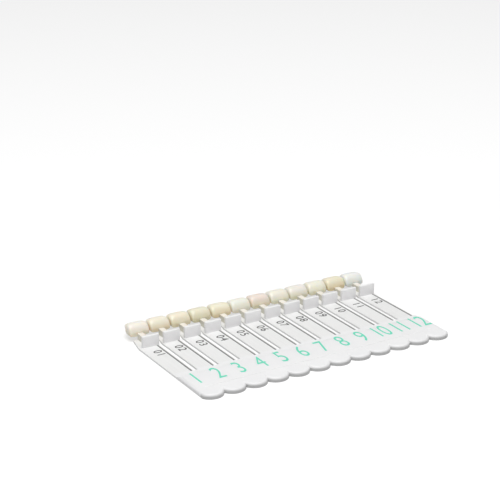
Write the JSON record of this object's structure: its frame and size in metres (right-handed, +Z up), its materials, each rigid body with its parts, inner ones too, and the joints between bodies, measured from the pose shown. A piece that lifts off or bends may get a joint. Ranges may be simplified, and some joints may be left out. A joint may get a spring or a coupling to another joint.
{
  "type": "dental shade guide",
  "caption": "Flat comb-shaped dental shade guide: a scalloped grip strip with thin fingers, each with an upright wall and a tooth-shaped shade sample.",
  "frame": {"origin": "centre of the footprint, on the surface that the guide lies on", "axes": "+X along the comb from the first shade to the last, +Y from the scalloped grip towards the tooth samples, +Z up"},
  "size_m": [0.108, 0.0662, 0.0068],
  "materials": {
    "frosted_plastic": "moulded translucent plastic, fine frosted surface",
    "shade_01": "polished dental composite, cream",
    "shade_02": "polished dental composite, amber",
    "shade_03": "polished dental composite, sand",
    "shade_04": "polished dental composite, olive beige",
    "shade_05": "polished dental composite, honey",
    "shade_06": "polished dental composite, ivory",
    "shade_07": "polished dental composite, rose beige",
    "shade_08": "polished dental composite, pale cream",
    "shade_09": "polished dental composite, beige",
    "shade_10": "polished dental composite, light ivory",
    "shade_11": "polished dental composite, ochre",
    "shade_12": "polished dental composite, clear"
  },
  "bodies": {
    "root": {"comb": "frosted_plastic", "tooth_01": "shade_01", "tooth_02": "shade_02", "tooth_03": "shade_03", "tooth_04": "shade_04", "tooth_05": "shade_05", "tooth_06": "shade_06", "tooth_07": "shade_07", "tooth_08": "shade_08", "tooth_09": "shade_09", "tooth_10": "shade_10", "tooth_11": "shade_11", "tooth_12": "shade_12"}
  },
  "joints": []
}
